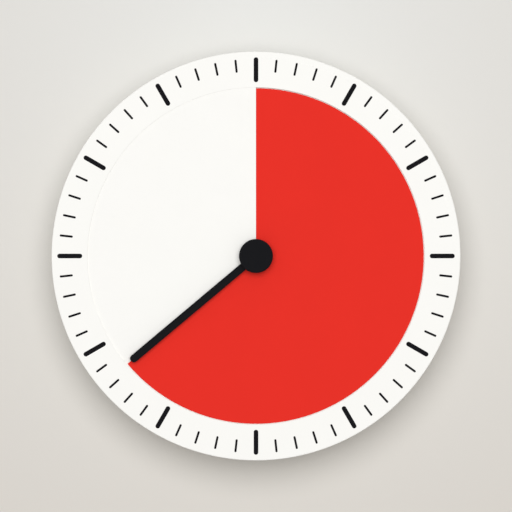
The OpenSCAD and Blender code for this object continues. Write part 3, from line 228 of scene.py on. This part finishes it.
def metal(name, colour, roughness, marked=EVEN):
    """Plated, drawn, rolled or turned metal, with the fine marks and the faint stains that this leaves."""
    finish = Finish(name)
    marks = finish.noise(MARK_SIZE, detail=4.0, squeeze=marked)
    stain = finish.spread(finish.noise(STAIN_PATCH, detail=3.0), 0.0, 1.0)
    return finish.set(
        base_color=finish.mix(stain, shade(colour, STAIN_SHADE), colour),
        metallic=1.0,
        roughness=finish.spread(marks, roughness - 0.06, roughness + 0.1),
        normal=finish.bump(marks, MARK_DEPTH, finish.edge(METAL_EDGE)),
    )


WIRE_PITCH, WIRE_DEPTH = 0.16 * MM, 0.03 * MM
# How dark the painted shade in the grooves between the wire's turns is
PAINTED_GROOVE_SHADE = 0.45


def wound_copper(name, colour):
    """Enamelled wire, laid turn by turn along Y, with painted shade that darkens the grooves between the
    turns.
    """
    finish = Finish(name)
    _, y, _ = finish.axes()
    turns = finish.math("SINE", finish.math("MULTIPLY", y, math.tau / WIRE_PITCH))
    wire = finish.spread(turns, 0.0, 1.0, start=-1.0, end=1.0)
    return finish.set(
        # Painted shade: the base colour darkens where the wire mask falls to 0, in the grooves between the
        # turns
        base_color=finish.mix(wire, shade(colour, PAINTED_GROOVE_SHADE), colour),
        metallic=1.0,
        roughness=0.28,
        normal=finish.bump(wire, WIRE_DEPTH, finish.edge(FINE_EDGE)),
        coat_weight=0.6,
    )


TRACK_CELL, TRACKS_PER_CELL, TRACK_GAP = 3.2 * MM, 5.0, 0.6
TRACK_HEIGHT, TRACK_SHARE, TRACK_PALENESS = 0.02 * MM, 0.5, 2.0
WEAVE_SIZE, WEAVE_DEPTH = 0.3 * MM, 0.003 * MM


def circuit(name, colour):
    """Solder mask over copper tracks, which show as slightly raised lighter lines."""
    finish = Finish(name)
    cells = finish.add("ShaderNodeTexVoronoi", {"Vector": finish.place, "Scale": 1 / TRACK_CELL},
                       distance="CHEBYCHEV", feature="F1")
    bands = finish.math("FRACT", finish.math("MULTIPLY", cells.outputs["Distance"], TRACKS_PER_CELL))
    track = finish.math("GREATER_THAN", bands, TRACK_GAP)
    weave = finish.noise(WEAVE_SIZE, detail=2.0)
    board_relief = finish.bump(weave, WEAVE_DEPTH, finish.edge(FINE_EDGE))
    lighter = shade(colour, TRACK_PALENESS)
    return finish.set(
        base_color=finish.mix(finish.math("MULTIPLY", track, TRACK_SHARE), colour, lighter),
        roughness=finish.spread(weave, 0.3, 0.42),
        normal=finish.bump(track, TRACK_HEIGHT, board_relief),
    )


BAND_METALLIC = 0.6
SLEEVE_GRAIN, SLEEVE_DEPTH, SLEEVE_EDGE = 0.6 * MM, 0.003 * MM, 0.2 * MM
# Along the cell, as shares of its length: the band's start, and the sleeve's middle and half length
BAND_START = 0.72
SLEEVE_MIDDLE, SLEEVE_HALF = 0.487, 0.465


def cell_sleeve(name, body, band, steel):
    """Shrink sleeve of the cell: a plain body, a lighter band, and bare steel at both ends."""
    finish = Finish(name)
    x, _, _ = finish.axes()
    share = finish.spread(x, 0.0, 1.0, start=BATTERY_LOW.x, end=BATTERY_HIGH.x)
    banded = finish.math("GREATER_THAN", share, BAND_START)
    off_middle = finish.math("ABSOLUTE", finish.math("SUBTRACT", share, SLEEVE_MIDDLE))
    bare = finish.math("GREATER_THAN", off_middle, SLEEVE_HALF)
    grain = finish.noise(SLEEVE_GRAIN, detail=3.0)
    return finish.set(
        base_color=finish.mix(bare, finish.mix(banded, body, band), steel),
        metallic=finish.math("MAXIMUM", bare, finish.math("MULTIPLY", banded, BAND_METALLIC)),
        roughness=finish.spread(grain, 0.24, 0.34),
        normal=finish.bump(grain, SLEEVE_DEPTH, finish.edge(SLEEVE_EDGE)),
    )


def acetal(name, colour):
    """Unfilled gear plastic, a little translucent."""
    finish = moulded(name, colour, 0.36, texture=0.12 * MM, depth=0.002 * MM, change=0.02, drift=4 * MM)
    return finish.set(subsurface_weight=0.15, subsurface_scale=0.6 * MM)


# -------------------------------------------------- the finish of each piece

FACE_WHITE = linear(252, 251, 247)
SHELL_WHITE = linear(244, 243, 238)
INK_BLACK = linear(17, 17, 21)
HAND_BLACK = linear(15, 16, 20)
DISC_RED = linear(231, 46, 35)
MOVEMENT_BLACK = linear(38, 38, 41)
SCREW_STEEL = linear(190, 192, 196)
CORE_STEEL = linear(170, 172, 176)
CONTACT_STEEL = linear(200, 200, 204)
BRASS = linear(204, 170, 96)
GEAR_WHITE = linear(232, 230, 220)
GEAR_ORANGE = linear(236, 136, 50)


def face(name, edge=SOFT_EDGE):
    """Plastic of the dial and its rim."""
    return moulded(name, FACE_WHITE, 0.5, change=0.004, edge=edge)


def ink(name):
    """Plastic of the marks, crisp at the edge."""
    return moulded(name, INK_BLACK, 0.5, gloss=0.1, texture=0.2 * MM, edge=0.02 * MM)


def pointer(name, roughness, edge):
    """Plastic of the hand and its hub."""
    return moulded(name, HAND_BLACK, roughness, gloss=0.12, texture=0.25 * MM, edge=edge)


def shell(name):
    """Plastic of the housing and its door, with a coarser texture than the face."""
    return moulded(name, SHELL_WHITE, 0.56, texture=0.5 * MM, depth=0.012 * MM)


FINISHES = {
    "front_cover": lambda: face("dial_white"),
    "five_minute_marks": lambda: ink("mark_black"),
    "minute_marks": lambda: ink("minute_black"),
    "red_disc": lambda: worn_film("disc_red", DISC_RED, 0.52),
    "hand": lambda: pointer("hand_black", 0.46, edge=0.2 * MM),
    "hub": lambda: pointer("hub_black", 0.44, edge=0.1 * MM),
    "rear_housing": lambda: shell("housing_white"),
    "battery_door": lambda: shell("door_white"),
    "rubber_feet": lambda: rubber("foot_rubber", linear(58, 58, 60)),
    "sound_switch_knob": lambda: moulded("switch_black", linear(34, 34, 36), 0.45, texture=0.3 * MM),
    "case_screws": lambda: metal("case_screw_steel", SCREW_STEEL, 0.3),
    "chassis_plate": lambda: moulded("chassis_grey", linear(176, 178, 180), 0.5),
    "chassis_screws": lambda: metal("chassis_screw_steel", SCREW_STEEL, 0.3),
    "movement_case": lambda: moulded("movement_case_black", MOVEMENT_BLACK, 0.46),
    "movement_cover": lambda: moulded("movement_cover_black", MOVEMENT_BLACK, 0.46),
    "movement_screws": lambda: metal("movement_screw_steel", SCREW_STEEL, 0.3),
    "train_bridge": lambda: moulded("bridge_black", linear(44, 44, 47), 0.44),
    "collar_nut": lambda: metal("collar_brass", BRASS, 0.26),
    "circuit_board": lambda: circuit("board_green", linear(24, 92, 58)),
    "timer_chip": lambda: moulded("chip_black", linear(24, 24, 26), 0.22, texture=0.4 * MM),
    "quartz_crystal": lambda: metal("crystal_can", linear(205, 207, 210), 0.22, DRAWN_ALONG_X),
    "buzzer": lambda: moulded("buzzer_black", linear(30, 30, 33), 0.4),
    "switch_body": lambda: metal("switch_steel", linear(196, 197, 200), 0.34),
    "coil_bobbin": lambda: acetal("bobbin_white", linear(228, 226, 216)),
    "coil_winding": lambda: wound_copper("coil_copper", linear(200, 118, 66)),
    "coil_core": lambda: metal("core_steel", CORE_STEEL, 0.4, ROLLED_ALONG_Y),
    "stator": lambda: metal("stator_steel", CORE_STEEL, 0.4, ROLLED_ALONG_Y),
    "stator_screws": lambda: metal("stator_screw_steel", SCREW_STEEL, 0.3),
    "battery": lambda: cell_sleeve("cell_sleeve", body=linear(64, 74, 92), band=linear(176, 180, 186),
                                   steel=linear(200, 201, 204)),
    "positive_contact": lambda: metal("positive_contact_steel", CONTACT_STEEL, 0.24),
    "negative_contact": lambda: metal("negative_contact_steel", CONTACT_STEEL, 0.24),
    "main_arbor": lambda: metal("arbor_steel", linear(195, 196, 200), 0.22, TURNED_ABOUT_Z),
    "clutch_washer": lambda: metal("washer_brass", BRASS, 0.3),
    "arbor_clip": lambda: metal("clip_steel", linear(160, 162, 168), 0.32),
    "centre_wheel": lambda: acetal("centre_wheel_white", GEAR_WHITE),
    "third_wheel": lambda: acetal("third_wheel_orange", GEAR_ORANGE),
    "second_wheel": lambda: acetal("second_wheel_white", GEAR_WHITE),
    "intermediate_wheel": lambda: acetal("intermediate_wheel_orange", GEAR_ORANGE),
    "rotor_pinion": lambda: acetal("rotor_white", GEAR_WHITE),
    "rotor_magnet": lambda: metal("magnet_ferrite", linear(74, 74, 78), 0.5),
}

WELD_REACH = 0.001 * MM
CRISP_ANGLE = math.radians(28)
# The modifier's highest weight: where faces meet smoothly, the larger one keeps its normal
FLAT_FACES_FIRST = 100


def dress(node):
    """Gives a CAD node its finish and smooth curved faces with crisp edges."""
    piece = NODES[node]
    piece.data.materials.clear()
    piece.data.materials.append(FINISHES[node]().material)
    drop_stored_normals(piece)
    piece.data.shade_smooth()
    piece.modifiers.new("weld", "WELD").merge_threshold = WELD_REACH
    piece.modifiers.new("crisp edges", "EDGE_SPLIT").split_angle = CRISP_ANGLE
    piece.modifiers.new("flat faces stay flat", "WEIGHTED_NORMAL").weight = FLAT_FACES_FIRST


def drop_stored_normals(piece):
    """Takes off the normals that came with the file, which streak across long thin facets."""
    with bpy.context.temp_override(object=piece, active_object=piece, mesh=piece.data):
        bpy.ops.mesh.customdata_custom_splitnormals_clear()


for name in NODES:
    dress(name)


# -------------------------------------------------------------- rim's edge

# The true edge's radius, and how much less the ring's is, so that the ring lies just outside it
RIM_EDGE_R = 0.4 * MM
RIM_EDGE_LESS = 0.01 * MM
# The lip's reach inwards past the edge and its depth under the face, and the wall's height below the edge
RIM_LIP = 0.15 * MM
RIM_LIP_SUNK = 0.002 * MM
RIM_WALL = 0.03 * MM
# Steps along the edge's quarter circle and round the case
RIM_STEPS = 10
RIM_TURNS = 720


def rim_section():
    """The ring's cross-section as points (r, z), from the foot of its inner side to that of its outer."""
    rim_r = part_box("front_cover")[1].x
    edge_r = RIM_EDGE_R - RIM_EDGE_LESS
    middle_r, middle_z = rim_r - edge_r, FACE_TOP - edge_r
    lip_r, foot_z = rim_r - RIM_EDGE_R - RIM_LIP, middle_z - RIM_WALL
    section = [(lip_r, foot_z), (lip_r, FACE_TOP - RIM_LIP_SUNK)]
    for step in range(RIM_STEPS + 1):
        angle = math.pi / 2 * (1 - step / RIM_STEPS)
        section.append((middle_r + edge_r * math.cos(angle), middle_z + edge_r * math.sin(angle)))
    section.append((rim_r, foot_z))
    return section


def make_rim_edge():
    """The rim's rounded edge, cut fine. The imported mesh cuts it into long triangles, with notches up to
    0.14 mm deep. This ring lies over them, flush with the side, and its lip goes just under the face."""
    section = rim_section()
    count = len(section)
    vertices = []
    faces = []
    for turn in range(RIM_TURNS):
        angle = math.tau * turn / RIM_TURNS
        vertices += [(r * math.cos(angle), r * math.sin(angle), z) for r, z in section]
        here, after = turn * count, (turn + 1) % RIM_TURNS * count
        for i in range(count):
            j = (i + 1) % count
            faces.append((here + i, here + j, after + j, after + i))
    mesh = bpy.data.meshes.new("rim_edge")
    mesh.from_pydata(vertices, [], faces)
    ring = bpy.data.objects.new("rim_edge", mesh)
    bpy.context.scene.collection.objects.link(ring)
    mesh.materials.append(face("rim_white", edge=0.0).material)
    mesh.shade_smooth()
    mesh.set_sharp_from_angle(angle=CRISP_ANGLE)
    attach(ring, "case")


make_rim_edge()


# ------------------------------------------------------ floor, light, camera

# The floor's colour in the middle of its painted pool of light, and its plain colour far from it, which the
# backdrop matches
FLOOR_PAINTED_GLOW = linear(230, 230, 227)
FLOOR_FAR = linear(216, 210, 202)
FLOOR_SIZE = 8.0
FIBRE_SIZE, FIBRE_CHANGE = 1.2 * MM, 0.004
# The centre of the pool of light painted on the floor, beyond twelve o'clock, and the distance from it at
# which the painted light has faded and the floor is darkest
PAINTED_GLOW_Y = 0.131
PAINTED_GLOW_REACH = 0.346
# Distances from that spot between which the paper turns into the backdrop
BACKDROP_START = 0.5
BACKDROP_END = 1.2


def seen_rays(tree):
    """1 for rays of the camera and for those that mirror or pass through, else 0."""
    path = tree.nodes.new("ShaderNodeLightPath")
    seen = path.outputs["Is Camera Ray"]
    for kind in ("Is Glossy Ray", "Is Transmission Ray"):
        either = tree.nodes.new("ShaderNodeMath")
        either.operation = "MAXIMUM"
        tree.links.new(seen, either.inputs[0])
        tree.links.new(path.outputs[kind], either.inputs[1])
        seen = either.outputs[0]
    return seen


def make_floor():
    """Pale paper with a painted pool of light: lighter beyond twelve o'clock and darker away from it. It
    turns into the backdrop far away.
    """
    bpy.ops.mesh.primitive_plane_add(size=FLOOR_SIZE)
    floor = bpy.context.object
    floor.name = "floor"
    finish = Finish("floor_paper_painted_glow")
    reach = finish.distance(middle_y=PAINTED_GLOW_Y)
    fibres = finish.spread(finish.noise(FIBRE_SIZE, detail=4.0), -FIBRE_CHANGE, FIBRE_CHANGE)
    # Painted light: the floor's colour fades from the painted glow to its plain colour with distance from
    # the spot beyond twelve o'clock, plus a fine grain of fibres
    painted_falloff_and_fibres = finish.math("ADD", finish.spread(reach, 0.0, 1.0, start=0.0, end=PAINTED_GLOW_REACH), fibres)
    finish.set(
        base_color=finish.mix(painted_falloff_and_fibres, FLOOR_PAINTED_GLOW, FLOOR_FAR),
        roughness=0.9,
        specular_ior_level=0.0,
    )
    far = finish.spread(reach, 0.0, 1.0, start=BACKDROP_START, end=BACKDROP_END)
    backdrop = finish.add("ShaderNodeEmission", {"Color": FLOOR_FAR, "Strength": 1.0})
    far_and_seen = finish.math("MULTIPLY", far, seen_rays(finish.tree))
    both = finish.add("ShaderNodeMixShader", {"Fac": far_and_seen})
    finish.plug(finish.shader.outputs[0], both.inputs[1])
    finish.plug(backdrop.outputs[0], both.inputs[2])
    finish.plug(both.outputs[0], finish.tree.nodes["Material Output"].inputs["Surface"])
    floor.data.materials.append(finish.material)


def make_world(strength, seen):
    """Even light from all round. The camera and reflections see a pale backdrop."""
    world = bpy.data.worlds.new("studio")
    bpy.context.scene.world = world
    world.use_nodes = True
    tree = world.node_tree
    tree.nodes.clear()
    light = tree.nodes.new("ShaderNodeBackground")
    light.inputs["Color"].default_value = (1.0, 1.0, 1.0, 1.0)
    light.inputs["Strength"].default_value = strength
    backdrop = tree.nodes.new("ShaderNodeBackground")
    backdrop.inputs["Color"].default_value = seen
    backdrop.inputs["Strength"].default_value = 1.0
    choose = tree.nodes.new("ShaderNodeMixShader")
    tree.links.new(seen_rays(tree), choose.inputs["Fac"])
    tree.links.new(light.outputs[0], choose.inputs[1])
    tree.links.new(backdrop.outputs[0], choose.inputs[2])
    output = tree.nodes.new("ShaderNodeOutputWorld")
    tree.links.new(choose.outputs[0], output.inputs["Surface"])


def make_lamp(name, tilt, azimuth, distance, spread, level):
    """Round softbox aimed at the dial. It leans from the vertical by tilt, towards azimuth, clockwise from
    twelve o'clock. Seen from the dial its radius is spread. A white surface square to it reflects level."""
    data = bpy.data.lights.new(name, "AREA")
    data.shape = "DISK"
    radius = distance * math.tan(math.radians(spread))
    data.size = 2 * radius
    data.energy = level * math.pi ** 2 * (radius ** 2 + distance ** 2)
    lamp = bpy.data.objects.new(name, data)
    bpy.context.scene.collection.objects.link(lamp)
    lean, turn = math.radians(tilt), math.radians(azimuth)
    sideways = math.sin(lean)
    away = Vector((math.sin(turn) * sideways, math.cos(turn) * sideways, math.cos(lean)))
    lamp.location = away * distance + Vector((0, 0, FACE_TOP))
    lamp.rotation_mode = "QUATERNION"
    lamp.rotation_quaternion = away.to_track_quat("Z", "Y")
    lamp.visible_glossy = False


CAMERA_DISTANCE = 2.0
CAMERA_REACH = 20.0
HALF_FRAME = 125.2 * MM
SENSOR_MM = 36.0


def make_camera():
    """Long lens straight above the dial, with twelve o'clock at the top of the picture."""
    data = bpy.data.cameras.new("camera")
    data.sensor_width = SENSOR_MM
    data.lens = SENSOR_MM / 2 * CAMERA_DISTANCE / HALF_FRAME
    data.clip_end = CAMERA_REACH
    camera = bpy.data.objects.new("camera", data)
    bpy.context.scene.collection.objects.link(camera)
    camera.location = (0, 0, FACE_TOP + CAMERA_DISTANCE)
    bpy.context.scene.camera = camera


make_floor()
make_world(strength=0.365, seen=FLOOR_FAR)
make_lamp("key", tilt=10.8, azimuth=0, distance=3.0, spread=23.7, level=0.65)
make_camera()
bpy.context.scene.view_settings.view_transform = "Standard"
